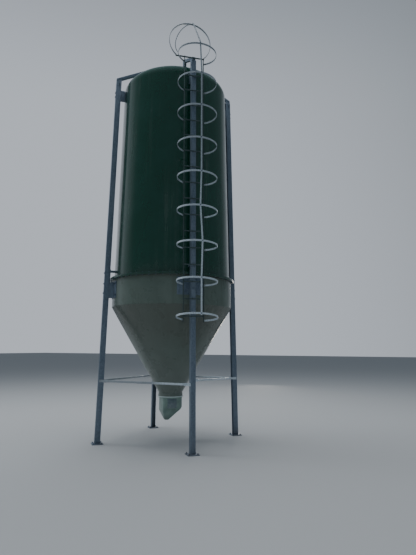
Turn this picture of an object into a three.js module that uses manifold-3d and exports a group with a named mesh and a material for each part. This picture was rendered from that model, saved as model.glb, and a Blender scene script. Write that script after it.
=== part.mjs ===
// A free-standing grain silo: a tapered glass-fibre tank and hopper on four galvanised legs,
// with a caged ladder on the front right leg. Millimetres, +Z up, origin on the ground under the
// middle of the whole silo's plan.
import * as THREE from "three";
import { mergeVertices } from "three/addons/utils/BufferGeometryUtils.js";
import Module from "manifold-3d";

const wasm = await Module();
wasm.setup();

// Clearance left between pieces that touch on the real silo.
const GAP = 0.3;
const MERGE_DISTANCE = 0.001;

// Tank, hopper and roof, all turned about one axis. The cage makes the plan wider on its side,
// so that axis stands off the middle.
const TANK_X = -119;
const TANK_Y = 141;
const ROUND_SIDES = 72;
const WALL = 10;
const FLANGE_Z = 2690;
const FLANGE_THICK = 34;
const FLANGE_R = 1093;
const BODY_TOP_Z = 6182;
const BODY_FOOT_R = 1020;
const BODY_TOP_R = 946;
const ROOF_RISE = 350;
const ROOF_SQUARENESS = 2.35;
const ROOF_STEPS = 14;
const ROOF_INNER_STEPS = 9;
const SKIRT_R = 1046;
const SKIRT_FOOT_Z = 2228;
const CONE_FOOT_R = 200;
const CONE_FOOT_Z = 780;
const CONE_RIM_WALL = 14;
const COLLAR_FOOT_R = 210;
const COLLAR_TOP_R = 205;

// Filling lid on the crown of the roof.
const LID_R = 300;
const LID_RIM_HEIGHT = 45;
const LID_SHOULDER_R = 240;
const LID_SHOULDER_RISE = 38.5;
const LID_CROWN_R = 135;
const LID_CROWN_RISE = 63;
const LID_RISE = 70;
const LID_SIDES = 36;

// Outlet below the cone.
const OUTLET_FLANGE_R = 215;
const OUTLET_FLANGE_THICK = 16;
const OUTLET_BORE_R = 150;
const OUTLET_SIDES = 48;
const OUTLET_TURN = -135;
const BOOT_HALF = 166;
const BOOT_CORNER_R = 213;
const BOOT_TOP_Z = 712;
const BOOT_KNEE_Z = 520;
const BOOT_BACK_KNEE_Z = 548;
const BOOT_MOUTH_KNEE_Z = 483;
const BOOT_FOOT_Z = 330;
const BOOT_WALL = 8;
const BOOT_BLANK = 700;
const BOOT_MOUTH_SHIFT = 70;
const BOOT_MOUTH_HALF_X = 30;
const BOOT_MOUTH_HALF_Y = 40;
const WINDOW_X = 18;
const WINDOW_WIDTH = 160;
const WINDOW_HEIGHT = 155;
const WINDOW_THICK = 6;
const WINDOW_Z = 612;

// Legs: open channels leaning inwards, one on each corner of a square.
const LEG_FOOT_HALF = 861;
const LEG_TOP_HALF = 758;
const LEG_TOP_Z = 6450;
const LEG_WIDTH = 75;
const LEG_DEPTH = 90;
const LEG_SHEET = 5;
const PLATE_SIDE = 180;
const PLATE_THICK = 12;
const FOOT_RADIUS = LEG_FOOT_HALF * Math.SQRT2;
const LEAN = ((LEG_FOOT_HALF - LEG_TOP_HALF) * Math.SQRT2) / LEG_TOP_Z;

// Arms from the leg tops: each rises inwards over the roof's edge and stands on the roof on a foot.
const ARM_WIDTH = 52;
const ARM_HEIGHT = 58;
const ARM_START_Z = 6398;
const ARM_SLOPE = 0.52;
const ARM_END_R = 555;
const ARM_FOOT_LENGTH = 55;

// Brackets between leg and tank.
const BRACKET_SHEET = 6;
const TOP_BRACKET_Z = 6080;
const TOP_BRACKET_HEIGHT = 180;
const BRACKET_WIDTH = 66;
const SADDLE_FOOT_Z = 2370;
const SADDLE_HEIGHT = 280;
const SADDLE_ARC_WIDTH = 430;
const SADDLE_WEB_MARGIN = 6;
const SADDLE_STEPS = 8;
const STRAP_TOP_Z = 2865;
const UPPER_TAB_Z = 2830;
const UPPER_TAB_HEIGHT = 30;
const WELD_LAP = 20;

// Braces between neighbouring legs: a tube with flattened ends and an angled tab at each leg.
const BRACE_Z = 1000;
const RIGHT_BRACE_RISE = 62;
const BRACE_R = 17;
const BRACE_SIDES = 12;
const BRACE_TAB_LENGTH = 62;
const BRACE_TAB_HEIGHT = 44;
const BRACE_BLADE_LENGTH = 80;
const BRACE_LAP = 10;

// Ladder and cage, in the frame of the ladder leg: x outwards, y along the rungs, z up the leg.
const CAGE_TURN = -6;
const LADDER_FOOT = 1930;
const LADDER_TOP = 6380;
const LADDER_HALF_WIDTH = 160;
const STILE_THICK = 8;
const STILE_DEPTH = 40;
const RUNG_R = 10;
const RUNG_SIDES = 8;
const FIRST_RUNG_RISE = 90;
const RUNG_PITCH = 268;
const HOOP_R = 310;
const HOOP_CENTRE = 300;
const HOOP_OPEN_HALF_ANGLE = 31;
const HOOP_RUN_PAST = 5;
const HOOP_BAR_HEIGHT = 27;
const HOOP_BAR_THICK = 6;
const HOOP_STEPS = 26;
const HOOP_TRIM_DEPTH = 120;
const HOOP_TRIM_HEIGHT = 140;
const HOOP_ROLL = -2.5;

// The hoops do not hang quite alike: the height of each one's centre, the tilt that lifts its outer
// side, and how far the strap stands off the middle where it crosses.
const HOOPS = [
  { z: 1987, tilt: 5.3, sway: -7 },
  { z: 2519, tilt: 2.3, sway: -6 },
  { z: 3073, tilt: 0, sway: 10 },
  { z: 3609, tilt: 0, sway: -22 },
  { z: 4145, tilt: -1, sway: -5 },
  { z: 4681, tilt: -1, sway: -9 },
  { z: 5217, tilt: -1, sway: -8 },
  { z: 5753, tilt: -1, sway: 0 },
  { z: 6270, tilt: -5, sway: -21 },
];
const STRAP_WIDTH = 23;
const STRAP_THICK = 6;
const STRAP_OVERHANG = 10;

// Guard over the top of the cage: an arch on the ladder's top rail and a rod down to the top hoop.
const RAIL_HEIGHT = 24;
const RAIL_LEFT = -315;
const RAIL_RIGHT = 175;
const ARCH_R = 352;
const ARCH_CENTRE_Y = -70;
const ARCH_FOOT_INSET = 10;
const ARCH_BAR_WIDTH = 30;
const ARCH_BAR_THICK = 6;
const ARCH_STEPS = 28;
const ROD_R = 7;
const ROD_SIDES = 8;
const ROD_START_Y = -36;
const ROD_LEAVING = { x: 118, y: -202, drop: 45 };
const ROD_ARRIVING = { x: 222, y: -450, rise: 193 };
const ROD_END_ANGLE = -100;

const rad = THREE.MathUtils.degToRad;

const PAINTS = {
  tank: { color: 0x14311f, roughness: 0.28, metalness: 0 },
  lip: { color: 0x101c16, roughness: 0.5, metalness: 0 },
  hopper: { color: 0x8f9784, roughness: 0.45, metalness: 0 },
  boot: { color: 0x9fb3a4, roughness: 0.35, metalness: 0 },
  window: { color: 0x5f737c, roughness: 0.3, metalness: 0 },
  zinc: { color: 0x7c8a94, roughness: 0.45, metalness: 0.85 },
  brightZinc: { color: 0xc6ced2, roughness: 0.3, metalness: 0.9 },
};

const silo = new THREE.Group();
const tower = new THREE.Group();
tower.position.set(TANK_X, TANK_Y, 0);
silo.add(tower);

function addMesh(parent, name, geometry, paint) {
  const mesh = new THREE.Mesh(geometry, new THREE.MeshStandardMaterial(PAINTS[paint]));
  mesh.name = name;
  parent.add(mesh);
  return mesh;
}

function bareMesh(geometry) {
  const bare = geometry.clone();
  bare.deleteAttribute("normal");
  bare.deleteAttribute("uv");
  const merged = mergeVertices(bare, MERGE_DISTANCE);
  const index = merged.index.array;
  const kept = [];
  for (let i = 0; i < index.length; i += 3) {
    const [a, b, c] = [index[i], index[i + 1], index[i + 2]];
    if (a !== b && b !== c && a !== c) kept.push(a, b, c);
  }
  merged.setIndex(kept);
  return merged;
}

// Turns every face the other way where a mesh came out with its faces pointing in.
function faceOut(geometry) {
  const bare = bareMesh(geometry);
  const spots = bare.attributes.position;
  const index = bare.index.array;
  const [a, b, c] = [new THREE.Vector3(), new THREE.Vector3(), new THREE.Vector3()];
  let volume = 0;
  for (let i = 0; i < index.length; i += 3) {
    a.fromBufferAttribute(spots, index[i]);
    b.fromBufferAttribute(spots, index[i + 1]);
    c.fromBufferAttribute(spots, index[i + 2]);
    volume += a.dot(b.cross(c));
  }
  if (volume < 0) {
    for (let i = 0; i < index.length; i += 3) {
      [index[i], index[i + 1]] = [index[i + 1], index[i]];
    }
  }
  return bare;
}

function toSolid(geometry) {
  const closed = faceOut(geometry);
  return new wasm.Manifold(
    new wasm.Mesh({
      numProp: 3,
      vertProperties: new Float32Array(closed.attributes.position.array),
      triVerts: new Uint32Array(closed.index.array),
    }),
  );
}

function toGeometry(solid) {
  const mesh = solid.getMesh();
  const geometry = new THREE.BufferGeometry();
  geometry.setAttribute("position", new THREE.BufferAttribute(mesh.vertProperties, 3));
  geometry.setIndex(new THREE.BufferAttribute(mesh.triVerts, 1));
  return geometry;
}

// A body of revolution about +Z from a profile of [radius, height] points.
function turned(profile, sides = ROUND_SIDES) {
  const points = profile.map(([r, z]) => new THREE.Vector2(r, z));
  return faceOut(new THREE.LatheGeometry(points, sides).rotateX(Math.PI / 2));
}

function closedRing(profile, sides) {
  return turned([...profile, profile[0]], sides);
}

function box(sizeX, sizeY, sizeZ, x, y, z) {
  return new THREE.BoxGeometry(sizeX, sizeY, sizeZ).translate(x, y, z);
}

// Slides a shape inwards with height, so that it follows the lean of a leg.
function lean(geometry) {
  return geometry.applyMatrix4(new THREE.Matrix4().makeShear(0, 0, 0, 0, -LEAN, 0));
}

function legRadiusAt(z) {
  return FOOT_RADIUS - LEAN * z;
}

function bodyRadiusAt(z) {
  const share = (z - FLANGE_Z) / (BODY_TOP_Z - FLANGE_Z);
  return BODY_FOOT_R + (BODY_TOP_R - BODY_FOOT_R) * share;
}

function roofProfile(radius, rise, footZ, steps) {
  const points = [];
  for (let i = 0; i <= steps; i += 1) {
    const turn = (Math.PI / 2) * (i / steps);
    points.push([
      radius * Math.cos(turn) ** (2 / ROOF_SQUARENESS),
      footZ + rise * Math.sin(turn) ** (2 / ROOF_SQUARENESS),
    ]);
  }
  points[steps][0] = 0;
  return points;
}

function tankBody() {
  const footZ = FLANGE_Z + FLANGE_THICK + GAP;
  const footR = bodyRadiusAt(footZ);
  return closedRing([
    [footR, footZ],
    [BODY_TOP_R, BODY_TOP_Z],
    [BODY_TOP_R - WALL, BODY_TOP_Z],
    [footR - WALL, footZ],
  ]);
}

function tankRoof() {
  const outer = roofProfile(BODY_TOP_R, ROOF_RISE, BODY_TOP_Z + GAP, ROOF_STEPS);
  const inner = roofProfile(BODY_TOP_R - WALL, ROOF_RISE - WALL, BODY_TOP_Z + GAP, ROOF_INNER_STEPS);
  return turned([...outer.reverse(), ...inner]);
}

function roofLid() {
  const seatZ = BODY_TOP_Z + ROOF_RISE + 2 * GAP;
  const rimZ = seatZ + LID_RIM_HEIGHT;
  return turned(
    [
      [0, seatZ],
      [LID_R, seatZ],
      [LID_R, rimZ],
      [LID_SHOULDER_R, rimZ + LID_SHOULDER_RISE],
      [LID_CROWN_R, rimZ + LID_CROWN_RISE],
      [0, rimZ + LID_RISE],
    ],
    LID_SIDES,
  );
}

function tankFlange() {
  const innerR = bodyRadiusAt(FLANGE_Z) - WALL;
  return closedRing([
    [innerR, FLANGE_Z],
    [FLANGE_R, FLANGE_Z],
    [FLANGE_R, FLANGE_Z + FLANGE_THICK],
    [innerR, FLANGE_Z + FLANGE_THICK],
  ]);
}

function hopperSkirt() {
  return closedRing([
    [SKIRT_R, SKIRT_FOOT_Z + GAP],
    [SKIRT_R, FLANGE_Z - GAP],
    [SKIRT_R - WALL, FLANGE_Z - GAP],
    [SKIRT_R - WALL, SKIRT_FOOT_Z + GAP],
  ]);
}

// The cone ends in a short collar that stands on the outlet flange.
function hopperCone() {
  const collarFootZ = BOOT_TOP_Z + OUTLET_FLANGE_THICK + 2 * GAP;
  const slope = (SKIRT_FOOT_Z - CONE_FOOT_Z) / (SKIRT_R - CONE_FOOT_R);
  return closedRing([
    [COLLAR_FOOT_R, collarFootZ],
    [COLLAR_TOP_R, CONE_FOOT_Z + (COLLAR_TOP_R - CONE_FOOT_R) * slope],
    [SKIRT_R, SKIRT_FOOT_Z],
    [SKIRT_R - CONE_RIM_WALL, SKIRT_FOOT_Z],
    [CONE_FOOT_R - WALL, CONE_FOOT_Z + WALL],
    [CONE_FOOT_R - WALL, collarFootZ],
  ]);
}

// Its bore is narrower than the boot, so that it closes the gap between the boot's wall and the collar.
function outletFlange() {
  const footZ = BOOT_TOP_Z + GAP;
  return closedRing(
    [
      [OUTLET_BORE_R, footZ],
      [OUTLET_FLANGE_R, footZ],
      [OUTLET_FLANGE_R, footZ + OUTLET_FLANGE_THICK],
      [OUTLET_BORE_R, footZ + OUTLET_FLANGE_THICK],
    ],
    OUTLET_SIDES,
  );
}

// A square hopper with rounded corners, drawn from its two side views: the mouth is off centre in
// one of them, where the wall on the mouth's side runs down steeper and the other one flatter.
function bootForm(inset) {
  const half = BOOT_HALF - inset;
  const sideX = new THREE.Shape([
    new THREE.Vector2(-half, BOOT_TOP_Z + inset),
    new THREE.Vector2(-half, BOOT_BACK_KNEE_Z),
    new THREE.Vector2(BOOT_MOUTH_SHIFT - BOOT_MOUTH_HALF_X + inset, BOOT_FOOT_Z - inset),
    new THREE.Vector2(BOOT_MOUTH_SHIFT + BOOT_MOUTH_HALF_X - inset, BOOT_FOOT_Z - inset),
    new THREE.Vector2(half, BOOT_MOUTH_KNEE_Z),
    new THREE.Vector2(half, BOOT_TOP_Z + inset),
  ]);
  const sideY = new THREE.Shape([
    new THREE.Vector2(-half, BOOT_TOP_Z + inset),
    new THREE.Vector2(-half, BOOT_KNEE_Z),
    new THREE.Vector2(-BOOT_MOUTH_HALF_Y + inset, BOOT_FOOT_Z - inset),
    new THREE.Vector2(BOOT_MOUTH_HALF_Y - inset, BOOT_FOOT_Z - inset),
    new THREE.Vector2(half, BOOT_KNEE_Z),
    new THREE.Vector2(half, BOOT_TOP_Z + inset),
  ]);
  const options = { depth: BOOT_BLANK, bevelEnabled: false };
  const acrossX = new THREE.ExtrudeGeometry(sideX, options)
    .translate(0, 0, -BOOT_BLANK / 2)
    .rotateX(Math.PI / 2);
  const acrossY = new THREE.ExtrudeGeometry(sideY, options)
    .translate(0, 0, -BOOT_BLANK / 2)
    .rotateX(Math.PI / 2)
    .rotateZ(Math.PI / 2);
  const corners = new THREE.CylinderGeometry(
    BOOT_CORNER_R - inset,
    BOOT_CORNER_R - inset,
    BOOT_BLANK,
    OUTLET_SIDES,
  )
    .rotateX(Math.PI / 2)
    .translate(0, 0, BOOT_KNEE_Z);
  return toSolid(acrossX).intersect(toSolid(acrossY)).intersect(toSolid(corners));
}

function outletBoot() {
  return toGeometry(bootForm(0).subtract(bootForm(BOOT_WALL)));
}

// A plate form drawn from its side, as [distance outwards, height] points, and centred on y = 0.
function sideForm(outline, width) {
  const shape = new THREE.Shape(outline.map(([x, z]) => new THREE.Vector2(x, z)));
  return new THREE.ExtrudeGeometry(shape, { depth: width, bevelEnabled: false })
    .translate(0, 0, -width / 2)
    .rotateX(Math.PI / 2);
}

const armStartR = legRadiusAt(ARM_START_Z) + LEG_DEPTH / 2;

function armTopZ(r) {
  return ARM_START_Z + ARM_SLOPE * (armStartR - r);
}

// The channel's upper end is cut to the slope of the arm that lies on it.
function legChannel() {
  const [halfWidth, halfDepth] = [LEG_WIDTH / 2, LEG_DEPTH / 2];
  const footZ = PLATE_THICK + GAP;
  const section = new THREE.Shape([
    new THREE.Vector2(-halfDepth, -halfWidth),
    new THREE.Vector2(halfDepth, -halfWidth),
    new THREE.Vector2(halfDepth, halfWidth),
    new THREE.Vector2(-halfDepth, halfWidth),
    new THREE.Vector2(-halfDepth, halfWidth - LEG_SHEET),
    new THREE.Vector2(halfDepth - LEG_SHEET, halfWidth - LEG_SHEET),
    new THREE.Vector2(halfDepth - LEG_SHEET, -halfWidth + LEG_SHEET),
    new THREE.Vector2(-halfDepth, -halfWidth + LEG_SHEET),
  ]);
  const bar = new THREE.ExtrudeGeometry(section, { depth: LEG_TOP_Z - footZ, bevelEnabled: false });
  const [innerR, outerR] = [armStartR - LEG_DEPTH * 2, armStartR + LEG_DEPTH];
  const above = sideForm(
    [
      [innerR, armTopZ(innerR) - ARM_HEIGHT - GAP],
      [outerR, armTopZ(outerR) - ARM_HEIGHT - GAP],
      [outerR, LEG_TOP_Z + LEG_DEPTH],
      [innerR, LEG_TOP_Z + LEG_DEPTH],
    ],
    LEG_WIDTH * 2,
  );
  return toGeometry(toSolid(lean(bar.translate(FOOT_RADIUS, 0, footZ))).subtract(toSolid(above)));
}

// The outside of tank, roof and hopper, grown by the clearance, that brackets and arms are cut by.
const tankBlock = toSolid(
  turned([
    [0, CONE_FOOT_Z],
    [CONE_FOOT_R + GAP, CONE_FOOT_Z],
    [SKIRT_R + GAP, SKIRT_FOOT_Z],
    [SKIRT_R + GAP, FLANGE_Z - GAP],
    [FLANGE_R + GAP, FLANGE_Z - GAP],
    [FLANGE_R + GAP, FLANGE_Z + FLANGE_THICK + GAP],
    [bodyRadiusAt(FLANGE_Z + FLANGE_THICK) + GAP, FLANGE_Z + FLANGE_THICK + GAP],
    ...roofProfile(BODY_TOP_R + GAP, ROOF_RISE + GAP, BODY_TOP_Z + GAP, ROOF_STEPS),
  ]),
);

function topArm(cornerTurn) {
  const footOuterR = ARM_END_R + ARM_FOOT_LENGTH;
  const form = sideForm(
    [
      [armStartR, armTopZ(armStartR) - ARM_HEIGHT],
      [armStartR, armTopZ(armStartR)],
      [ARM_END_R, armTopZ(ARM_END_R)],
      [ARM_END_R, BODY_TOP_Z],
      [footOuterR, BODY_TOP_Z],
      [footOuterR, armTopZ(footOuterR) - ARM_HEIGHT],
    ],
    ARM_WIDTH,
  );
  return cutByTank(toSolid(form), cornerTurn);
}

// Corner pieces are drawn with x outwards, so the tank is turned back before it cuts them.
function cutByTank(solid, cornerTurn) {
  return toGeometry(solid.subtract(tankBlock.rotate([0, 0, -cornerTurn])));
}

// A box folded from sheet, open at its two ends, which lie against the leg and the tank.
function topBracket() {
  const wallR = bodyRadiusAt(TOP_BRACKET_Z - TOP_BRACKET_HEIGHT / 2) + GAP;
  const legR = legRadiusAt(TOP_BRACKET_Z + TOP_BRACKET_HEIGHT / 2) - LEG_DEPTH / 2 - GAP;
  const [length, middleR] = [legR - wallR, (legR + wallR) / 2];
  const outside = box(length, BRACKET_WIDTH, TOP_BRACKET_HEIGHT, middleR, 0, TOP_BRACKET_Z);
  const inside = box(
    length * 2,
    BRACKET_WIDTH - 2 * BRACKET_SHEET,
    TOP_BRACKET_HEIGHT - 2 * BRACKET_SHEET,
    middleR,
    0,
    TOP_BRACKET_Z,
  );
  return toGeometry(toSolid(outside).subtract(toSolid(inside)));
}

// The curved saddle plate on the skirt, the box behind it, the strap up the leg and the tab
// above the flange are one welded piece.
function hopperBracket(cornerTurn) {
  const halfTurn = SADDLE_ARC_WIDTH / 2 / SKIRT_R;
  const plate = new THREE.Shape();
  plate.absarc(0, 0, SKIRT_R + GAP + BRACKET_SHEET, -halfTurn, halfTurn, false);
  plate.absarc(0, 0, SKIRT_R - WALL / 2, halfTurn, -halfTurn, true);
  const saddle = new THREE.ExtrudeGeometry(plate, {
    depth: SADDLE_HEIGHT,
    bevelEnabled: false,
    curveSegments: SADDLE_STEPS,
  }).translate(0, 0, SADDLE_FOOT_Z);
  const strapX = legRadiusAt(0) - LEG_DEPTH / 2 - GAP - BRACKET_SHEET / 2;
  const strapHeight = STRAP_TOP_Z - SADDLE_FOOT_Z;
  const strapZ = SADDLE_FOOT_Z + strapHeight / 2;
  const strap = lean(box(BRACKET_SHEET, BRACKET_WIDTH, strapHeight, strapX, 0, strapZ));
  const saddleZ = SADDLE_FOOT_Z + SADDLE_HEIGHT / 2;
  const webHeight = SADDLE_HEIGHT - 2 * SADDLE_WEB_MARGIN;
  const webY = (BRACKET_WIDTH - BRACKET_SHEET) / 2;
  const webs = [-webY, webY].map((y) =>
    lean(box(strapX - SKIRT_R, BRACKET_SHEET, webHeight, (strapX + SKIRT_R) / 2, y, saddleZ)),
  );
  const tabInnerR = bodyRadiusAt(UPPER_TAB_Z) - WELD_LAP;
  const tabOuterR = strapX - LEAN * UPPER_TAB_Z;
  const tab = box(
    tabOuterR - tabInnerR,
    BRACKET_WIDTH,
    UPPER_TAB_HEIGHT,
    (tabOuterR + tabInnerR) / 2,
    0,
    UPPER_TAB_Z,
  );
  const whole = [strap, tab, ...webs].reduce((form, piece) => form.add(toSolid(piece)), toSolid(saddle));
  return cutByTank(whole, cornerTurn);
}

// A brace whose two ends are not bolted on at one height: its left end stands higher by the rise.
function brace(rise) {
  const half = legRadiusAt(BRACE_Z) / Math.SQRT2;
  const faceOffset = LEG_WIDTH / 2 + GAP + BRACKET_SHEET / 2;
  const tabX = half - faceOffset * Math.SQRT1_2;
  const lineY = -half - faceOffset * Math.SQRT1_2;
  const tubeLength = 2 * (tabX - BRACE_BLADE_LENGTH);
  const tube = new THREE.CylinderGeometry(BRACE_R, BRACE_R, tubeLength, BRACE_SIDES).rotateZ(Math.PI / 2);
  let whole = toSolid(tube.translate(0, lineY, BRACE_Z));
  const bladeLength = BRACE_BLADE_LENGTH + BRACE_LAP;
  for (const side of [-1, 1]) {
    const bladeX = side * (tabX - bladeLength / 2);
    const blade = box(bladeLength, BRACKET_SHEET, BRACE_TAB_HEIGHT, bladeX, lineY, BRACE_Z);
    const tab = new THREE.BoxGeometry(BRACE_TAB_LENGTH, BRACKET_SHEET, BRACE_TAB_HEIGHT)
      .rotateZ(side * -Math.PI / 4)
      .translate(side * tabX, lineY, BRACE_Z);
    whole = whole.add(toSolid(blade)).add(toSolid(tab));
  }
  const slope = rise / (2 * tabX);
  const slant = new THREE.Matrix4().makeShear(0, -slope, 0, 0, 0, 0).setPosition(0, 0, rise / 2);
  return toGeometry(whole).applyMatrix4(slant);
}

// The ladder is turned a little about the leg, and its rungs bear on the corner that turns outwards.
const cageTurn = rad(CAGE_TURN);
const cornerReach = (LEG_DEPTH / 2) * Math.cos(cageTurn) + (LEG_WIDTH / 2) * Math.abs(Math.sin(cageTurn));
const ladderX = cornerReach + GAP + RUNG_R;

function ladder() {
  const railWidth = RAIL_RIGHT - RAIL_LEFT;
  const railY = (RAIL_RIGHT + RAIL_LEFT) / 2;
  const railZ = LADDER_TOP - RAIL_HEIGHT / 2;
  let whole = toSolid(box(STILE_THICK, railWidth, RAIL_HEIGHT, ladderX, railY, railZ));
  for (const y of [-LADDER_HALF_WIDTH, LADDER_HALF_WIDTH]) {
    const middle = (LADDER_TOP + LADDER_FOOT) / 2;
    const stile = box(STILE_DEPTH, STILE_THICK, LADDER_TOP - LADDER_FOOT, ladderX, y, middle);
    whole = whole.add(toSolid(stile));
  }
  for (let z = LADDER_FOOT + FIRST_RUNG_RISE; z < LADDER_TOP - RUNG_PITCH / 2; z += RUNG_PITCH) {
    const rung = new THREE.CylinderGeometry(RUNG_R, RUNG_R, LADDER_HALF_WIDTH * 2, RUNG_SIDES);
    whole = whole.add(toSolid(rung.translate(ladderX, 0, z)));
  }
  return toGeometry(whole);
}

function sweep(section, curve, steps) {
  const shape = new THREE.Shape(section.map(([across, along]) => new THREE.Vector2(across, along)));
  return toSolid(new THREE.ExtrudeGeometry(shape, { steps, extrudePath: curve, bevelEnabled: false }));
}

// A flat bar along a curve; height is across the curve's plane.
function barAlong(curve, height, thick, steps) {
  const [x, y] = [height / 2, thick / 2];
  return sweep([[-x, -y], [x, -y], [x, y], [-x, y]], curve, steps);
}

function rodAlong(curve, radius, sides, steps) {
  const section = Array.from({ length: sides }, (_, i) => {
    const turn = (2 * Math.PI * i) / sides;
    return [radius * Math.cos(turn), radius * Math.sin(turn)];
  });
  return sweep(section, curve, steps);
}

class Arc extends THREE.Curve {
  constructor(centre, across, upward, radius, fromAngle, toAngle) {
    super();
    Object.assign(this, { centre, across, upward, radius, fromAngle, toAngle });
  }

  getPoint(share, target = new THREE.Vector3()) {
    const turn = this.fromAngle + (this.toAngle - this.fromAngle) * share;
    return target
      .copy(this.centre)
      .addScaledVector(this.across, this.radius * Math.cos(turn))
      .addScaledVector(this.upward, this.radius * Math.sin(turn));
  }
}

const AXIS_X = new THREE.Vector3(1, 0, 0);
const AXIS_Y = new THREE.Vector3(0, 1, 0);
const AXIS_Z = new THREE.Vector3(0, 0, 1);

// A tilted hoop is set in a little, so that no corner of its bar stands out past the level ones.
function hoopPlace({ z, tilt }) {
  const turn = new THREE.Euler(rad(HOOP_ROLL), rad(-tilt), 0, "ZYX");
  const outerR = HOOP_R + HOOP_BAR_THICK / 2;
  const reach = outerR * Math.cos(rad(tilt)) + (HOOP_BAR_HEIGHT / 2) * Math.abs(Math.sin(rad(tilt)));
  return new THREE.Matrix4().makeRotationFromEuler(turn).setPosition(HOOP_CENTRE + outerR - reach, 0, z);
}

function hoopPoint(hoop, turn) {
  const flat = new THREE.Vector3(HOOP_R * Math.cos(turn), HOOP_R * Math.sin(turn), 0);
  return flat.applyMatrix4(hoopPlace(hoop));
}

// A hoop runs a little past the ladder's stiles and is trimmed flush with their outer sides.
function cageHoop(hoop) {
  const open = rad(HOOP_OPEN_HALF_ANGLE - HOOP_RUN_PAST);
  const arc = new Arc(new THREE.Vector3(), AXIS_X, AXIS_Y, HOOP_R, -Math.PI + open, Math.PI - open);
  const bar = toGeometry(barAlong(arc, HOOP_BAR_HEIGHT, HOOP_BAR_THICK, HOOP_STEPS));
  const stileSide = LADDER_HALF_WIDTH + STILE_THICK / 2 + GAP;
  const trim = box(HOOP_TRIM_DEPTH, stileSide * 2, HOOP_TRIM_HEIGHT, ladderX, 0, hoop.z);
  return toGeometry(toSolid(bar.applyMatrix4(hoopPlace(hoop))).subtract(toSolid(trim)));
}

const archHalfFeet = (RAIL_RIGHT - RAIL_LEFT) / 2 - ARCH_FOOT_INSET;
const archCentreZ = LADDER_TOP + Math.sqrt(ARCH_R ** 2 - archHalfFeet ** 2);
const archTopZ = archCentreZ + ARCH_R + ARCH_BAR_THICK / 2;
const topHoop = HOOPS.at(-1);

// The arch is trimmed level on the rail, and the rod on its front ends against the top hoop.
function guardArch() {
  const open = Math.asin((archHalfFeet - ARCH_FOOT_INSET) / ARCH_R);
  const centre = new THREE.Vector3(ladderX, ARCH_CENTRE_Y, archCentreZ);
  const arc = new Arc(centre, AXIS_Y, AXIS_Z, ARCH_R, -Math.PI / 2 + open, (3 * Math.PI) / 2 - open);
  const bar = barAlong(arc, ARCH_BAR_WIDTH, ARCH_BAR_THICK, ARCH_STEPS);
  const below = box(ARCH_BAR_WIDTH * 2, ARCH_R * 3, ARCH_R, ladderX, 0, LADDER_TOP + GAP - ARCH_R / 2);
  const rodEnd = hoopPoint(topHoop, rad(ROD_END_ANGLE));
  const rodPath = new THREE.CubicBezierCurve3(
    new THREE.Vector3(ladderX, ROD_START_Y, archTopZ - ROD_R),
    new THREE.Vector3(ROD_LEAVING.x, ROD_LEAVING.y, archTopZ - ROD_LEAVING.drop),
    new THREE.Vector3(ROD_ARRIVING.x, ROD_ARRIVING.y, topHoop.z + ROD_ARRIVING.rise),
    rodEnd,
  );
  const rod = rodAlong(rodPath, ROD_R, ROD_SIDES, ARCH_STEPS);
  const insideHoop = turned([
    [0, rodEnd.z - HOOP_R],
    [HOOP_R + HOOP_BAR_THICK, rodEnd.z - HOOP_R],
    [HOOP_R + HOOP_BAR_THICK, rodEnd.z + HOOP_BAR_HEIGHT],
    [0, rodEnd.z + HOOP_BAR_HEIGHT],
  ]).translate(HOOP_CENTRE, 0, 0);
  return toGeometry(bar.add(rod).subtract(toSolid(below)).subtract(toSolid(insideHoop)));
}

// One side of a flat bar that is bent along a path, as the path moved sideways with mitred bends.
function barSide(path, offset) {
  const normals = path.slice(1).map(({ x, z }, i) => {
    const length = Math.hypot(x - path[i].x, z - path[i].z);
    return { x: (path[i].z - z) / length, z: (x - path[i].x) / length };
  });
  return path.map(({ x, z }, i) => {
    const before = normals[Math.max(i - 1, 0)];
    const after = normals[Math.min(i, normals.length - 1)];
    const share = offset / (1 + before.x * after.x + before.z * after.z);
    return { x: x + (before.x + after.x) * share, z: z + (before.z + after.z) * share };
  });
}

// Strap on the front of the hoops, swaying a little from hoop to hoop; above the top hoop it leans
// back to the arch.
function cageStrap() {
  const x = HOOP_CENTRE + HOOP_R + HOOP_BAR_THICK / 2 + GAP + STRAP_THICK / 2;
  const endZ = archTopZ + GAP + STRAP_THICK / 2;
  const path = HOOPS.map((hoop) => ({ x, z: hoopPoint(hoop, 0).z, sway: hoop.sway }));
  path[0].z -= HOOP_BAR_HEIGHT / 2 + STRAP_OVERHANG;
  path[HOOPS.length - 1].z += HOOP_BAR_HEIGHT / 2 + STRAP_OVERHANG;
  path.push(
    { x: ladderX + ARCH_BAR_WIDTH, z: endZ, sway: topHoop.sway },
    { x: ladderX - ARCH_BAR_WIDTH / 2, z: endZ, sway: topHoop.sway },
  );
  const runs = path.length - 1;
  const [inner, outer] = [barSide(path, STRAP_THICK / 2), barSide(path, -STRAP_THICK / 2)];
  const strap = new THREE.BoxGeometry(STRAP_THICK, STRAP_WIDTH, runs, 1, 1, runs);
  const spots = strap.attributes.position;
  for (let i = 0; i < spots.count; i += 1) {
    const step = Math.round(spots.getZ(i) + runs / 2);
    const side = spots.getX(i) > 0 ? outer : inner;
    spots.setXYZ(i, side[step].x, spots.getY(i) + path[step].sway, side[step].z);
  }
  return faceOut(strap);
}

addMesh(tower, "tank_body", tankBody(), "tank");
addMesh(tower, "tank_roof", tankRoof(), "tank");
addMesh(tower, "roof_lid", roofLid(), "tank");
addMesh(tower, "tank_flange", tankFlange(), "lip");
addMesh(tower, "hopper_skirt", hopperSkirt(), "hopper");
addMesh(tower, "hopper_cone", hopperCone(), "hopper");
addMesh(tower, "outlet_flange", outletFlange(), "boot");

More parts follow.
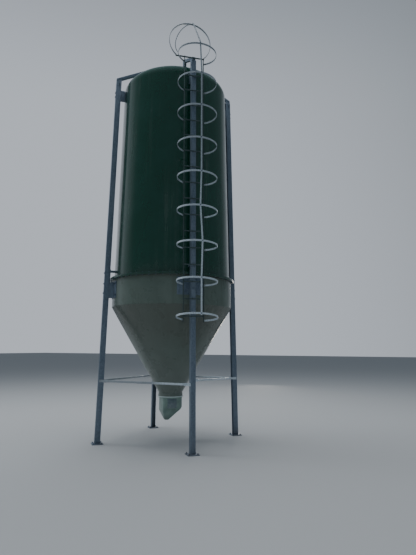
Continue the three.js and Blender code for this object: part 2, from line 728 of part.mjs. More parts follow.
const outlet = new THREE.Group();
outlet.rotation.z = rad(OUTLET_TURN);
tower.add(outlet);
addMesh(outlet, "outlet_boot", outletBoot(), "boot");
addMesh(
  outlet,
  "outlet_window",
  box(WINDOW_WIDTH, WINDOW_THICK, WINDOW_HEIGHT, WINDOW_X, BOOT_HALF + GAP + WINDOW_THICK / 2, WINDOW_Z),
  "window",
);

const CORNERS = [
  { place: "front_left", turn: -135 },
  { place: "front_right", turn: -45 },
  { place: "back_right", turn: 45 },
  { place: "back_left", turn: 135 },
];

for (const { place, turn } of CORNERS) {
  const corner = new THREE.Group();
  corner.rotation.z = rad(turn);
  tower.add(corner);
  const plate = box(PLATE_SIDE, PLATE_SIDE, PLATE_THICK, FOOT_RADIUS, 0, PLATE_THICK / 2);
  addMesh(corner, `base_plate_${place}`, plate, "zinc");
  addMesh(corner, `leg_${place}`, legChannel(), "zinc");
  addMesh(corner, `top_arm_${place}`, topArm(turn), "zinc");
  addMesh(corner, `top_bracket_${place}`, topBracket(), "zinc");
  addMesh(corner, `hopper_bracket_${place}`, hopperBracket(turn), "zinc");
}

const SIDES = [
  { place: "front", rise: 0 },
  { place: "right", rise: RIGHT_BRACE_RISE },
  { place: "back", rise: 0 },
  { place: "left", rise: 0 },
];

SIDES.forEach(({ place, rise }, i) => {
  const side = new THREE.Group();
  side.rotation.z = (i * Math.PI) / 2;
  tower.add(side);
  addMesh(side, `brace_${place}`, brace(rise), "brightZinc");
});

const ladderCorner = new THREE.Group();
ladderCorner.rotation.z = rad(-45);
tower.add(ladderCorner);
const leaningLeg = new THREE.Group();
leaningLeg.position.x = FOOT_RADIUS;
leaningLeg.rotation.y = -Math.atan(LEAN);
ladderCorner.add(leaningLeg);
const cage = new THREE.Group();
cage.rotation.z = cageTurn;
leaningLeg.add(cage);

addMesh(cage, "ladder", ladder(), "zinc");
HOOPS.forEach((hoop, i) => addMesh(cage, `cage_hoop_${i + 1}`, cageHoop(hoop), "brightZinc"));
addMesh(cage, "cage_strap", cageStrap(), "brightZinc");
addMesh(cage, "guard_arch", guardArch(), "brightZinc");

export default silo;
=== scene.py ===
import math

import bmesh
import bpy
from mathutils import Matrix, Vector


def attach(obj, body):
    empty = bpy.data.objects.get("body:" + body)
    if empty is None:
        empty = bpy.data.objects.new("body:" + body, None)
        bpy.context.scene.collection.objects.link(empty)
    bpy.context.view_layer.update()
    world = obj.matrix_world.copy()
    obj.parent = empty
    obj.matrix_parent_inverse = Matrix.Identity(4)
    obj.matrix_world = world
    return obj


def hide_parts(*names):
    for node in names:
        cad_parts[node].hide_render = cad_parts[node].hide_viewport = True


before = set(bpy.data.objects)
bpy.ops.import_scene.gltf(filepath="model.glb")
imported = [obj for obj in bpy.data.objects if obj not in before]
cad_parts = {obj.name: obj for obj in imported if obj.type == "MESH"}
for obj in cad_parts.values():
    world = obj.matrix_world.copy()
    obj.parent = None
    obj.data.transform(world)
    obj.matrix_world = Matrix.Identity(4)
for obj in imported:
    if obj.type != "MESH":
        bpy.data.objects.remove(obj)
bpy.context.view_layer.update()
print("frame loaded:", len(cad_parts), "nodes")

scene = bpy.context.scene
rad = math.radians

# camera
cameraSet = {
    "place": (3.8869, -7.0326, 1.559),
    "heading": 24.7136,    # degrees from +Y towards -X
    "pitch": 8.5664,
    "roll": 0.2653,
    "lens": 29.91,
    "sensor": 36.0,
}
cameraData = bpy.data.cameras.new("viewCamera")
cameraData.sensor_fit = "VERTICAL"
cameraData.sensor_width = cameraSet["sensor"]
cameraData.sensor_height = cameraSet["sensor"]
cameraData.lens = cameraSet["lens"]
viewCamera = bpy.data.objects.new("viewCamera", cameraData)
scene.collection.objects.link(viewCamera)
viewCamera.matrix_world = (
    Matrix.Translation(cameraSet["place"])
    @ Matrix.Rotation(rad(cameraSet["heading"]), 4, "Z")
    @ Matrix.Rotation(rad(90 + cameraSet["pitch"]), 4, "X")
    @ Matrix.Rotation(rad(cameraSet["roll"]), 4, "Z")
)
scene.camera = viewCamera
print("camera ready")

# the silo's main sizes in metres, and the frames that pieces are built in
siloSet = {
    "axis": (-0.119, 0.141, 0.0),
    "legFootHalf": 0.861,
    "legTopHalf": 0.758,
    "legTopHeight": 6.45,
    "legWidth": 0.075,
    "legDepth": 0.090,
    "cageTurn": -6.0,
    "ladderCorner": -45,
    "corners": {"front_left": -135, "front_right": -45, "back_right": 45, "back_left": 135},
}
footRadius = siloSet["legFootHalf"] * math.sqrt(2)
legLean = (siloSet["legFootHalf"] - siloSet["legTopHalf"]) * math.sqrt(2) / siloSet["legTopHeight"]
tankAxis = Matrix.Translation(siloSet["axis"])
cageFrame = (
    tankAxis
    @ Matrix.Rotation(rad(siloSet["ladderCorner"]), 4, "Z")
    @ Matrix.Translation((footRadius, 0, 0))
    @ Matrix.Rotation(-math.atan(legLean), 4, "Y")
    @ Matrix.Rotation(rad(siloSet["cageTurn"]), 4, "Z")
)


def cornerFrame(place):
    return tankAxis @ Matrix.Rotation(rad(siloSet["corners"][place]), 4, "Z")


def legRadius(height):
    return footRadius - legLean * height


# shader groups
def addNode(tree, kind, values=None, **settings):
    node = tree.nodes.new(kind)
    for key, value in settings.items():
        setattr(node, key, value)
    for key, value in (values or {}).items():
        node.inputs[key].default_value = value
    return node


def newGroup(name, inputs, outputs):
    group = bpy.data.node_groups.new(name, "ShaderNodeTree")
    for label, kind, value in inputs:
        socket = group.interface.new_socket(name=label, in_out="INPUT", socket_type=kind)
        if value is not None:
            socket.default_value = value
    for label in outputs:
        group.interface.new_socket(name=label, in_out="OUTPUT", socket_type="NodeSocketFloat")
    return group, group.nodes.new("NodeGroupInput"), group.nodes.new("NodeGroupOutput")


def mathNode(tree, operation, first, second, clamp=False):
    node = addNode(tree, "ShaderNodeMath", operation=operation, use_clamp=clamp)
    for socket, value in zip(node.inputs, (first, second)):
        if isinstance(value, (int, float)):
            socket.default_value = value
        else:
            tree.links.new(value, socket)
    return node.outputs["Value"]


def rangeNode(tree, value, low, high, toLow=0.0, toHigh=1.0):
    limits = {"From Min": low, "From Max": high, "To Min": toLow, "To Max": toHigh}
    node = addNode(tree, "ShaderNodeMapRange", limits, interpolation_type="SMOOTHSTEP")
    tree.links.new(value, node.inputs["Value"])
    return node.outputs["Result"]


def mixColour(tree, mask, first, second):
    node = addNode(tree, "ShaderNodeMix", data_type="RGBA")
    pairs = ((node.inputs[0], mask), (node.inputs[6], first), (node.inputs[7], second))
    for socket, value in pairs:
        if isinstance(value, (int, float, tuple)):
            socket.default_value = value
        else:
            tree.links.new(value, socket)
    return node.outputs[2]


def noiseNode(tree, vector, scale, detail, rough, stretch=None):
    if stretch:
        mapping = addNode(tree, "ShaderNodeMapping", {"Scale": stretch})
        tree.links.new(vector, mapping.inputs["Vector"])
        vector = mapping.outputs["Vector"]
    node = addNode(tree, "ShaderNodeTexNoise", {"Scale": scale, "Detail": detail, "Roughness": rough})
    tree.links.new(vector, node.inputs["Vector"])
    return node.outputs["Fac"]


# rain runs: thin, tall, broken lines down a wall; each noise is scale, detail, roughness, stretch
runsSet = {
    "thin": (9.0, 5.0, 0.6, (1, 1, 0.035)),
    "wide": (2.4, 3.0, 0.5, (1, 1, 0.10)),
    "broken": (1.3, 4.0, 0.6),
    "thinCut": (0.47, 0.72),
    "wideCut": (0.38, 0.66),
    "brokenCut": (0.30, 0.62),
}
rainRuns, runsIn, runsOut = newGroup(
    "rainRuns",
    [("Vector", "NodeSocketVector", None), ("Amount", "NodeSocketFloat", 1.0)],
    ["Mask"],
)
thinRuns = noiseNode(rainRuns, runsIn.outputs["Vector"], *runsSet["thin"])
wideRuns = noiseNode(rainRuns, runsIn.outputs["Vector"], *runsSet["wide"])
brokenRuns = noiseNode(rainRuns, runsIn.outputs["Vector"], *runsSet["broken"])
runsLine = mathNode(
    rainRuns,
    "MULTIPLY",
    rangeNode(rainRuns, thinRuns, *runsSet["thinCut"]),
    rangeNode(rainRuns, wideRuns, *runsSet["wideCut"]),
)
runsLine = mathNode(rainRuns, "MULTIPLY", runsLine, rangeNode(rainRuns, brokenRuns, *runsSet["brokenCut"]))
runsLine = mathNode(rainRuns, "MULTIPLY", runsLine, runsIn.outputs["Amount"], clamp=True)
rainRuns.links.new(runsLine, runsOut.inputs["Mask"])

# grime: cloudy dirt with small specks in it
grimeSet = {
    "cloud": {"Detail": 6.0, "Roughness": 0.62},
    "speck": {"Detail": 2.0, "Roughness": 0.5},
    "finer": 34.0,    # how much finer the specks are than the cloud
    "cloudCut": (0.35, 0.68),
    "speckCut": (0.60, 0.74),
}
grimeCloud, grimeIn, grimeOut = newGroup(
    "grimeCloud",
    [("Vector", "NodeSocketVector", None), ("Scale", "NodeSocketFloat", 2.0)],
    ["Cloud", "Specks"],
)
cloudNoise = addNode(grimeCloud, "ShaderNodeTexNoise", grimeSet["cloud"])
speckNoise = addNode(grimeCloud, "ShaderNodeTexNoise", grimeSet["speck"])
speckScale = mathNode(grimeCloud, "MULTIPLY", grimeIn.outputs["Scale"], grimeSet["finer"])
grimeCloud.links.new(grimeIn.outputs["Vector"], cloudNoise.inputs["Vector"])
grimeCloud.links.new(grimeIn.outputs["Vector"], speckNoise.inputs["Vector"])
grimeCloud.links.new(grimeIn.outputs["Scale"], cloudNoise.inputs["Scale"])
grimeCloud.links.new(speckScale, speckNoise.inputs["Scale"])
cloudMask = rangeNode(grimeCloud, cloudNoise.outputs["Fac"], *grimeSet["cloudCut"])
speckMask = rangeNode(grimeCloud, speckNoise.outputs["Fac"], *grimeSet["speckCut"])
grimeCloud.links.new(cloudMask, grimeOut.inputs["Cloud"])
grimeCloud.links.new(speckMask, grimeOut.inputs["Specks"])

# zinc: crystals of a galvanised surface, and the pale bloom that grows on it
spangleSet = {
    "bend": {"Scale": 24.0, "Detail": 2.0},
    "bendShare": 0.025,
    "bloom": (5.0, 6.0, 0.66, (1, 1, 0.3)),
    "bloomCut": (0.42, 0.70),
}
zincSpangle, zincIn, zincOut = newGroup(
    "zincSpangle",
    [("Vector", "NodeSocketVector", None), ("Scale", "NodeSocketFloat", 60.0)],
    ["Crystal", "Bloom"],
)
crystal = addNode(zincSpangle, "ShaderNodeTexVoronoi", feature="F1")
bend = addNode(zincSpangle, "ShaderNodeTexNoise", spangleSet["bend"])
zincSpangle.links.new(zincIn.outputs["Vector"], bend.inputs["Vector"])
bent = addNode(zincSpangle, "ShaderNodeMix", {0: spangleSet["bendShare"]}, data_type="VECTOR")
zincSpangle.links.new(zincIn.outputs["Vector"], bent.inputs[4])
zincSpangle.links.new(bend.outputs["Color"], bent.inputs[5])
zincSpangle.links.new(bent.outputs[1], crystal.inputs["Vector"])
zincSpangle.links.new(zincIn.outputs["Scale"], crystal.inputs["Scale"])
crystalTone = addNode(zincSpangle, "ShaderNodeSeparateColor")
zincSpangle.links.new(crystal.outputs["Color"], crystalTone.inputs["Color"])
zincSpangle.links.new(crystalTone.outputs["Red"], zincOut.inputs["Crystal"])
bloomNoise = noiseNode(zincSpangle, zincIn.outputs["Vector"], *spangleSet["bloom"])
bloomMask = rangeNode(zincSpangle, bloomNoise, *spangleSet["bloomCut"])
zincSpangle.links.new(bloomMask, zincOut.inputs["Bloom"])
print("shader groups ready")


# materials; a band in a paint is the two heights or noise values between which its effect
# changes, and the effect's amount at each
def newMaterial(name, shaderValues):
    material = bpy.data.materials.new(name)
    material.use_nodes = True
    tree = material.node_tree
    shader = tree.nodes["Principled BSDF"]
    for key, value in shaderValues.items():
        shader.inputs[key].default_value = value
    vector = addNode(tree, "ShaderNodeTexCoord").outputs["Object"]
    return material, tree, shader, vector


def useGroup(tree, group, vector, values):
    node = addNode(tree, "ShaderNodeGroup", values, node_tree=group)
    tree.links.new(vector, node.inputs["Vector"])
    return node


def bumpInto(tree, shader, height, strength, distance, below=None):
    node = addNode(tree, "ShaderNodeBump", {"Strength": strength, "Distance": distance})
    tree.links.new(height, node.inputs["Height"])
    if below:
        tree.links.new(below, node.inputs["Normal"])
    tree.links.new(node.outputs["Normal"], shader.inputs["Normal"])
    return node.outputs["Normal"]


def splitPlace(tree, vector):
    split = addNode(tree, "ShaderNodeSeparateXYZ")
    tree.links.new(vector, split.inputs["Vector"])
    return split.outputs


tankPaint = {
    "shader": {"IOR": 1.72, "Coat Weight": 0.30, "Coat Roughness": 0.08},
    "deep": (0.0035, 0.0520, 0.0310, 1),
    "faded": (0.0070, 0.0620, 0.0420, 1),
    "dust": (0.100, 0.125, 0.115, 1),
    "runs": 0.40,
    "cloud": 1.4,
    "splash": (3.00, 2.72, 0.0, 0.55),    # dust above the flange
    "crown": (6.25, 6.50, 0.0, 0.32),     # dust that lies on the roof
    "dustShare": 0.5,
    "rough": (0, 1, 0.15, 0.24),
    "dullShare": 0.4,
    "wave": (1.6, 2.0, 0.4, (1.6, 1.6, 0.35)),
    "waveBump": (0.30, 0.03),
    "peel": (90.0, 2.0, 0.5),
    "peelBump": (0.04, 0.001),
}


def makeTankMaterial():
    material, tree, shader, vector = newMaterial("greenGelcoat", tankPaint["shader"])
    runs = useGroup(tree, rainRuns, vector, {"Amount": tankPaint["runs"]}).outputs["Mask"]
    cloud = useGroup(tree, grimeCloud, vector, {"Scale": tankPaint["cloud"]}).outputs["Cloud"]
    height = splitPlace(tree, vector)["Z"]
    low = rangeNode(tree, height, *tankPaint["splash"])
    crown = rangeNode(tree, height, *tankPaint["crown"])
    settled = mathNode(tree, "MULTIPLY", mathNode(tree, "ADD", low, crown), cloud)
    dust = mathNode(tree, "MULTIPLY", settled, tankPaint["dustShare"])
    colour = mixColour(tree, cloud, tankPaint["deep"], tankPaint["faded"])
    colour = mixColour(tree, runs, colour, tankPaint["dust"])
    colour = mixColour(tree, dust, colour, tankPaint["dust"])
    tree.links.new(colour, shader.inputs["Base Color"])
    dull = mathNode(tree, "ADD", runs, settled, clamp=True)
    dull = mathNode(tree, "MULTIPLY", dull, tankPaint["dullShare"])
    rough = rangeNode(tree, cloud, *tankPaint["rough"])
    tree.links.new(mathNode(tree, "ADD", rough, dull, clamp=True), shader.inputs["Roughness"])
    wave = noiseNode(tree, vector, *tankPaint["wave"])
    peel = noiseNode(tree, vector, *tankPaint["peel"])
    soft = bumpInto(tree, shader, wave, *tankPaint["waveBump"])
    bumpInto(tree, shader, peel, *tankPaint["peelBump"], soft)
    return material


hopperPaint = {
    "shader": {"IOR": 1.5},
    "light": (0.156, 0.203, 0.177, 1),
    "dark": (0.128, 0.165, 0.143, 1),
    # stain colour; it also carries the painted shadow below the flange and the painted shade on the upper
    # cone
    "stain": (0.074, 0.082, 0.066, 1),
    # painted light: the paler tone given to the cone's lower part, standing in for light thrown up from the
    # floor
    "low": (0.215, 0.245, 0.225, 1),
    "runs": 0.75,
    "runsShare": 0.6,
    "cloud": 2.2,
    "layers": (1.0, 3.0, 0.5, (0.5, 0.5, 9.0)),    # laid-up layers show as faint rings
    "layersCut": (0.35, 0.7, 0.0, 0.22),
    "flange": (2.61, 2.695, 0.0, 0.6),             # painted shadow below the flange
    "shade": (1.20, 2.05, 0.0, 0.56),              # painted shade: the cone's upper part is darker
    "skirtFoot": (2.235, 2.222),
    # painted light band: below these heights the cone grows paler
    "foot": (1.60, 0.90, 0.0, 0.55),
    "specks": 0.10,
    "rough": (0, 1, 0.26, 0.31),
    "runsRough": 0.2,
    "wave": (3.0, 3.0, 0.5, (1.4, 1.4, 0.5)),
    "waveBump": (0.25, 0.02),
    "fibre": (38.0, 5.0, 0.7),
    "fibreBump": (0.12, 0.002),
}


def makeHopperMaterial():
    material, tree, shader, vector = newMaterial("greyGlassFibre", hopperPaint["shader"])
    runs = useGroup(tree, rainRuns, vector, {"Amount": hopperPaint["runs"]}).outputs["Mask"]
    grime = useGroup(tree, grimeCloud, vector, {"Scale": hopperPaint["cloud"]})
    height = splitPlace(tree, vector)["Z"]
    runsDirt = mathNode(tree, "MULTIPLY", runs, hopperPaint["runsShare"])
    layers = noiseNode(tree, vector, *hopperPaint["layers"])
    shade = rangeNode(tree, height, *hopperPaint["shade"])
    shade = mathNode(tree, "MULTIPLY", shade, rangeNode(tree, height, *hopperPaint["skirtFoot"]))
    specks = mathNode(tree, "MULTIPLY", grime.outputs["Specks"], hopperPaint["specks"])
    colour = mixColour(tree, grime.outputs["Cloud"], hopperPaint["dark"], hopperPaint["light"])
    colour = mixColour(tree, runsDirt, colour, hopperPaint["stain"])
    colour = mixColour(tree, rangeNode(tree, layers, *hopperPaint["layersCut"]), colour, hopperPaint["light"])
    # painted shadow: the skirt is darkened just below the flange
    colour = mixColour(tree, rangeNode(tree, height, *hopperPaint["flange"]), colour, hopperPaint["stain"])
    # painted shade on the upper cone, in the stain colour
    colour = mixColour(tree, shade, colour, hopperPaint["stain"])
    # painted light: the cone grows paler towards its foot
    colour = mixColour(tree, rangeNode(tree, height, *hopperPaint["foot"]), colour, hopperPaint["low"])
    colour = mixColour(tree, specks, colour, hopperPaint["stain"])
    tree.links.new(colour, shader.inputs["Base Color"])
    rough = rangeNode(tree, grime.outputs["Cloud"], *hopperPaint["rough"])
    dull = mathNode(tree, "MULTIPLY", runs, hopperPaint["runsRough"])
    tree.links.new(mathNode(tree, "ADD", rough, dull, clamp=True), shader.inputs["Roughness"])
    wave = noiseNode(tree, vector, *hopperPaint["wave"])
    fibre = noiseNode(tree, vector, *hopperPaint["fibre"])
    soft = bumpInto(tree, shader, wave, *hopperPaint["waveBump"])
    bumpInto(tree, shader, fibre, *hopperPaint["fibreBump"], soft)
    return material


# the boot, and the ring above it, whose near-white tone is a painted highlight on its edge
bootPaint = {
    "shader": {"IOR": 1.5},
    "light": (0.300, 0.415, 0.375, 1),
    "dark": (0.195, 0.280, 0.250, 1),
    "dirt": (0.095, 0.105, 0.085, 1),
    "cloud": 5.0,
    "runs": 0.8,
    "runsShare": 0.5,
    "mouth": (0.46, 0.33, 0.0, 0.6),
    "rough": (0, 1, 0.28, 0.46),
    "fibre": (46.0, 4.0, 0.65),
    "fibreBump": (0.15, 0.002),
}
rimHighlightPaint = {
    **bootPaint,
    "light": (0.760, 0.860, 0.860, 1),
    "dark": (0.620, 0.720, 0.710, 1),
    "dirt": (0.300, 0.340, 0.320, 1),
}


def makeBootMaterial(name, paint):
    material, tree, shader, vector = newMaterial(name, paint["shader"])
    cloud = useGroup(tree, grimeCloud, vector, {"Scale": paint["cloud"]}).outputs["Cloud"]
    runs = useGroup(tree, rainRuns, vector, {"Amount": paint["runs"]}).outputs["Mask"]
    runsDirt = mathNode(tree, "MULTIPLY", runs, paint["runsShare"])
    mouth = rangeNode(tree, splitPlace(tree, vector)["Z"], *paint["mouth"])
    colour = mixColour(tree, cloud, paint["dark"], paint["light"])
    colour = mixColour(tree, runsDirt, colour, paint["dirt"])
    colour = mixColour(tree, mathNode(tree, "MULTIPLY", mouth, cloud), colour, paint["dirt"])
    tree.links.new(colour, shader.inputs["Base Color"])
    tree.links.new(rangeNode(tree, cloud, *paint["rough"]), shader.inputs["Roughness"])
    bumpInto(tree, shader, noiseNode(tree, vector, *paint["fibre"]), *paint["fibreBump"])
    return material


windowPaint = {
    "shader": {"IOR": 1.49, "Coat Weight": 0.5},
    "clear": (0.130, 0.185, 0.215, 1),
    "dust": (0.290, 0.350, 0.370, 1),
    "cloud": 9.0,
    "cloudShare": 0.5,
    "heap": (0.64, 0.56, 0.0, 0.35),    # meal caked in the lower half
    "rough": (0, 1, 0.12, 0.5),
}


def makeWindowMaterial():
    material, tree, shader, vector = newMaterial("dustyWindow", windowPaint["shader"])
    cloud = useGroup(tree, grimeCloud, vector, {"Scale": windowPaint["cloud"]}).outputs["Cloud"]
    heap = rangeNode(tree, splitPlace(tree, vector)["Z"], *windowPaint["heap"])
    dust = mathNode(tree, "MULTIPLY", cloud, windowPaint["cloudShare"])
    dust = mathNode(tree, "ADD", dust, heap, clamp=True)
    colour = mixColour(tree, dust, windowPaint["clear"], windowPaint["dust"])
    tree.links.new(colour, shader.inputs["Base Color"])
    tree.links.new(rangeNode(tree, dust, *windowPaint["rough"]), shader.inputs["Roughness"])
    return material


# what all the galvanised steel shares, then the tones of each kind
zincSet = {
    "rustTone": (0.120, 0.062, 0.035, 1),
    "runs": 0.9,
    "cloud": 7.0,
    "bloomShare": 0.55,
    "stainShare": 0.45,
    "rustHeights": (0.30, 0.0),
    "spotShare": 0.35,
    "grain": 0.14,
    "dull": 0.16,
    "bump": (0.05, 0.0008),
}
zincPaint = {
    "dark": (0.120, 0.165, 0.220, 1),
    "light": (0.205, 0.265, 0.340, 1),
    "bloom": (0.260, 0.320, 0.390, 1),
    "stain": (0.080, 0.098, 0.115, 1),
    "metal": 0.35,
    "rough": 0.38,
    "spangle": 70.0,
    "rust": 0.25,
    "darkenedBands": (),    # bands along an axis in which it is darkened towards the stain colour; on the braces this is painted shade
}
boltPaint = {**zincPaint, "metal": 0.70, "rough": 0.30, "spangle": 160.0, "rust": 0.9}
# painted shade: the ladder is toned dark, near the tank's green, so it reads as lying in shade against the
# tank
ladderShadePaint = {
    "dark": (0.045, 0.075, 0.078, 1),
    "light": (0.080, 0.120, 0.125, 1),
    "bloom": (0.105, 0.145, 0.150, 1),
    "stain": (0.030, 0.036, 0.036, 1),
    "metal": 0.25,
    "rough": 0.50,
    "spangle": 70.0,
    "rust": 0.06,
    "darkenedBands": (),
}
brightPaint = {
    "dark": (0.600, 0.690, 0.770, 1),
    "light": (0.760, 0.850, 0.920, 1),
    "bloom": (0.670, 0.740, 0.800, 1),
    "stain": (0.280, 0.310, 0.340, 1),
    "metal": 0.20,
    "rough": 0.22,
    "spangle": 110.0,
    "rust": 0.12,
    # the hoops, strap and arch are darker upwards between these heights
    "darkenedBands": (("Z", (2.6, 5.6, 0.0, 0.60)), ("Z", (6.15, 6.35, 0.0, 0.88))),
}
# painted shade: the braces darken towards -X, so only their right-hand parts stay bright
bracePaint = {**brightPaint, "darkenedBands": (("X", (0.25, -0.05, 0.0, 0.75)),)}


def makeZincMaterial(name, paint):
    material, tree, shader, vector = newMaterial(name, {"Metallic": paint["metal"]})
    zinc = useGroup(tree, zincSpangle, vector, {"Scale": paint["spangle"]})
    runs = useGroup(tree, rainRuns, vector, {"Amount": zincSet["runs"]}).outputs["Mask"]
    grime = useGroup(tree, grimeCloud, vector, {"Scale": zincSet["cloud"]})
    place = splitPlace(tree, vector)
    bloom = mathNode(tree, "MULTIPLY", zinc.outputs["Bloom"], zincSet["bloomShare"])
    stain = mathNode(tree, "MULTIPLY", runs, zincSet["stainShare"])
    colour = mixColour(tree, zinc.outputs["Crystal"], paint["dark"], paint["light"])
    colour = mixColour(tree, bloom, colour, paint["bloom"])
    colour = mixColour(tree, stain, colour, paint["stain"])
    # darkened bands in the stain colour; on the braces these are painted shade
    for axis, band in paint["darkenedBands"]:
        colour = mixColour(tree, rangeNode(tree, place[axis], *band), colour, paint["stain"])
    foot = rangeNode(tree, place["Z"], *zincSet["rustHeights"], 0.0, paint["rust"])
    foot = mathNode(tree, "MULTIPLY", foot, grime.outputs["Cloud"])
    spots = mathNode(tree, "MULTIPLY", grime.outputs["Specks"], paint["rust"] * zincSet["spotShare"])
    rust = mathNode(tree, "ADD", foot, spots, clamp=True)
    tree.links.new(mixColour(tree, rust, colour, zincSet["rustTone"]), shader.inputs["Base Color"])
    grain = mathNode(tree, "MULTIPLY", zinc.outputs["Crystal"], zincSet["grain"])
    dull = mathNode(tree, "MULTIPLY", zinc.outputs["Bloom"], zincSet["dull"])
    rough = mathNode(tree, "ADD", mathNode(tree, "ADD", grain, dull), paint["rough"], clamp=True)
    tree.links.new(rough, shader.inputs["Roughness"])
    bumpInto(tree, shader, zinc.outputs["Crystal"], *zincSet["bump"])
    return material


tankMaterial = makeTankMaterial()
hopperMaterial = makeHopperMaterial()
bootMaterial = makeBootMaterial("paleGlassFibre", bootPaint)
rimHighlightMaterial = makeBootMaterial("paintedRimHighlight", rimHighlightPaint)
windowMaterial = makeWindowMaterial()
zincMaterial = makeZincMaterial("weatheredZinc", zincPaint)
ladderShadeMaterial = makeZincMaterial("shadedLadderZinc", ladderShadePaint)
brightMaterial = makeZincMaterial("brightZinc", brightPaint)
braceMaterial = makeZincMaterial("braceZinc", bracePaint)
boltMaterial = makeZincMaterial("boltZinc", boltPaint)
print("materials ready")

# mesh helpers
meshSet = {
    "merge": 2e-5,
    "flat": 1.2,      # degrees; CAD facets flatter than this become one face
    "sharp": 32,      # degrees from which an edge is shaded sharp, and bevelled
    "round": 40,      # the same for a piece of round tube or a dome
    "corner": 50,     # on a spun or tubular piece only corners steeper than this are bevelled
    "smallest": 0.0012,
    "gap": 0.0003,    # pieces that touch lie this far apart
}


def mergeDoubles(bm):
    bmesh.ops.remove_doubles(bm, verts=bm.verts, dist=meshSet["merge"])


def finishPiece(bm, name, material, replaced=(), sharp=meshSet["sharp"]):
    mergeDoubles(bm)
    bmesh.ops.recalc_face_normals(bm, faces=bm.faces)
    for face in bm.faces:
        face.smooth = True
    for edge in bm.edges:
        edge.smooth = edge.calc_face_angle(0) < rad(sharp)
    mesh = bpy.data.meshes.new(name)
    bm.to_mesh(mesh)
    bm.free()
    mesh.materials.append(material)
    piece = bpy.data.objects.new(name, mesh)
    scene.collection.objects.link(piece)
    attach(piece, "root")
    if replaced:
        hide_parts(*replaced)


def bevelSharp(bm, width, segments=2, limit=meshSet["sharp"]):
    bmesh.ops.bevel(
        bm,
        geom=[e for e in bm.edges if e.is_manifold and e.calc_face_angle(0) > rad(limit)],
        offset=width,
        offset_type="OFFSET",
        segments=segments,
        profile=0.5,
        affect="EDGES",
        clamp_overlap=True,
        material=-1,
    )


def spinOutline(bm, outline, steps, matrix=tankAxis, fromAngle=0.0, turn=360.0):
    start = Matrix.Rotation(rad(fromAngle), 4, "Z")
    verts = [bm.verts.new(start @ Vector((r, 0, z))) for r, z in outline]
    edges = [bm.edges.new((a, b)) for a, b in zip(verts, verts[1:] + verts[:1])]
    geom = [*verts, *edges]
    whole = turn >= 360
    if not whole:
        geom.append(bm.faces.new(verts))
    bmesh.ops.spin(
        bm, geom=geom, cent=(0, 0, 0), axis=(0, 0, 1), angle=rad(turn), steps=steps, use_merge=whole
    )
    bmesh.ops.transform(bm, matrix=matrix, verts=bm.verts)


def addBlock(bm, size, matrix):
    bmesh.ops.create_cube(bm, size=1.0, matrix=matrix @ Matrix.Diagonal((*size, 1)))


def addRound(bm, sides, radius, tip, depth, matrix):
    bmesh.ops.create_cone(
        bm,
        cap_ends=True,
        cap_tris=False,
        segments=sides,
        radius1=radius,
        radius2=tip,
        depth=depth,
        matrix=matrix,
    )


def addRod(bm, start, end, radius, sides):
    start, end = Vector(start), Vector(end)
    along = end - start
    turn = along.to_track_quat("Z", "Y").to_matrix().to_4x4()
    addRound(bm, sides, radius, radius, along.length, Matrix.Translation((start + end) / 2) @ turn)


# a bolt is a round washer with a six-sided head on it, and its size is the head's width over
# the flats, the head's height and the washer's radius
boltSet = {"washerSides": 14, "washerThick": 0.0025, "headSides": 6, "headFoot": 0.577, "headTop": 0.54}


def addBolt(bm, place, out, across, rise, washer):
    place, out = Vector(place), Vector(out).normalized()
    turn = out.to_track_quat("Z", "Y").to_matrix().to_4x4()
    thick = boltSet["washerThick"]
    middle = Matrix.Translation(place + out * (thick / 2)) @ turn
    addRound(bm, boltSet["washerSides"], washer, washer, thick, middle)
    middle = Matrix.Translation(place + out * (thick + rise / 2)) @ turn
    foot, top = across * boltSet["headFoot"], across * boltSet["headTop"]
    addRound(bm, boltSet["headSides"], foot, top, rise, middle)


def cadCopy(nodeName):
    bm = bmesh.new()
    bm.from_mesh(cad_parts[nodeName].data)
    mergeDoubles(bm)
    bmesh.ops.dissolve_limit(bm, angle_limit=rad(meshSet["flat"]), verts=bm.verts, edges=bm.edges)
    return bm


# tank, roof and hopper
tankSet = {
    "wall": 0.010,
    "flangeZ": 2.690,
    "flangeThick": 0.034,
    "flangeR": 1.093,
    "flangeBevel": 0.004,
    "topZ": 6.182,
    "footR": 1.020,
    "topR": 0.946,
    "rows": 12,
    "roofRise": 0.350,
    "roofSquare": 2.35,    # 2 would make the dome's section an ellipse
    "roofOutside": 34,
    "roofInside": 16,
    "steps": 160,
}
wall, gap = tankSet["wall"], meshSet["gap"]
flangeZ, flangeTop = tankSet["flangeZ"], tankSet["flangeZ"] + tankSet["flangeThick"]
topZ, topR = tankSet["topZ"], tankSet["topR"]


def bodyRadius(z):
    return tankSet["footR"] + (topR - tankSet["footR"]) * (z - flangeZ) / (topZ - flangeZ)


def roofCurve(radius, rise, foot, count):
    power = 2 / tankSet["roofSquare"]
    points = []
    for i in range(count):
        turn = math.pi / 2 * i / count
        points.append((radius * math.cos(turn) ** power, foot + rise * math.sin(turn) ** power))
    return points + [(0.0, foot + rise)]


footZ = flangeTop + gap
heights = [footZ + (topZ - footZ) * i / tankSet["rows"] for i in range(tankSet["rows"] + 1)]
bm = bmesh.new()
outer = [(bodyRadius(z), z) for z in heights]
inner = [(topR - wall, topZ), (bodyRadius(footZ) - wall, footZ)]
spinOutline(bm, outer + inner, tankSet["steps"])
finishPiece(bm, "tankShell", tankMaterial, ["tank_body"])

bm = bmesh.new()
outer = roofCurve(topR, tankSet["roofRise"], topZ + gap, tankSet["roofOutside"])
inner = roofCurve(topR - wall, tankSet["roofRise"] - wall, topZ + gap, tankSet["roofInside"])
verts = [bm.verts.new((r, 0, z)) for r, z in outer[::-1] + inner]
edges = [bm.edges.new(pair) for pair in zip(verts, verts[1:])]
bmesh.ops.spin(
    bm,
    geom=[*verts, *edges],
    cent=(0, 0, 0),
    axis=(0, 0, 1),
    angle=rad(360),
    steps=tankSet["steps"],
    use_merge=True,
)
bmesh.ops.transform(bm, matrix=tankAxis, verts=bm.verts)
finishPiece(bm, "roofDome", tankMaterial, ["tank_roof"], meshSet["round"])

